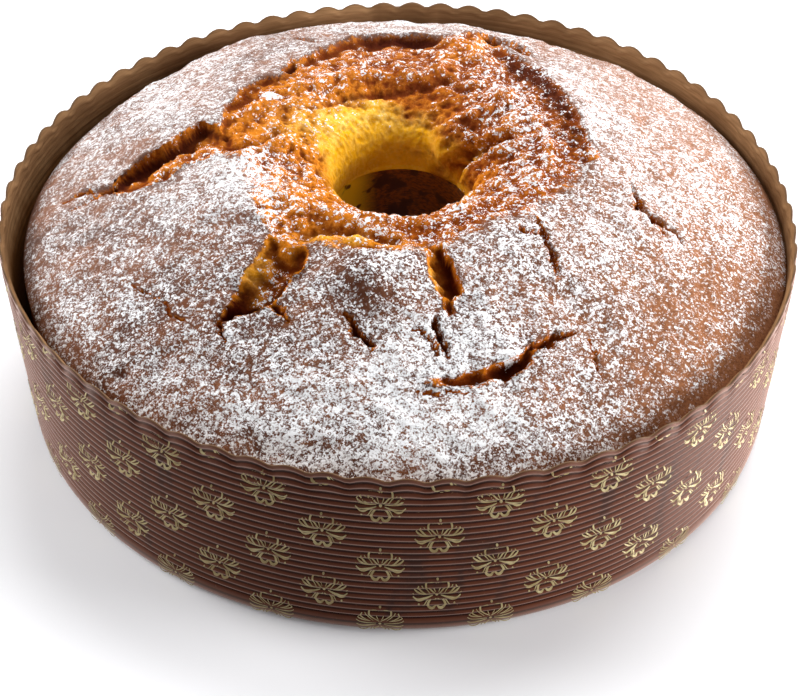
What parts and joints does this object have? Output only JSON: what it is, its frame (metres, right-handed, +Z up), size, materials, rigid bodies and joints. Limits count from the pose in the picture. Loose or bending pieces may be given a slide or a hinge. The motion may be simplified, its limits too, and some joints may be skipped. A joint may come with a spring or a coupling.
{
  "type": "ring cake",
  "caption": "Round ring cake with an open centre and a cracked, sugar-dusted crust, standing in its pleated brown paper case with scalloped rim, printed flowers and paper centre tube.",
  "frame": {"origin": "middle of the paper case's foot, on the surface it stands on", "axes": "+Z up through the hole in the cake; -Y toward the front that the picture shows"},
  "size_m": [0.2202, 0.2202, 0.0744],
  "materials": {
    "cake": "matte",
    "case_wall": "satin",
    "case_base": "matte",
    "case_core": "matte"
  },
  "bodies": {
    "root": {"ring_cake": "cake", "case_wall": "case_wall", "case_base": "case_base", "case_core": "case_core"}
  },
  "joints": []
}
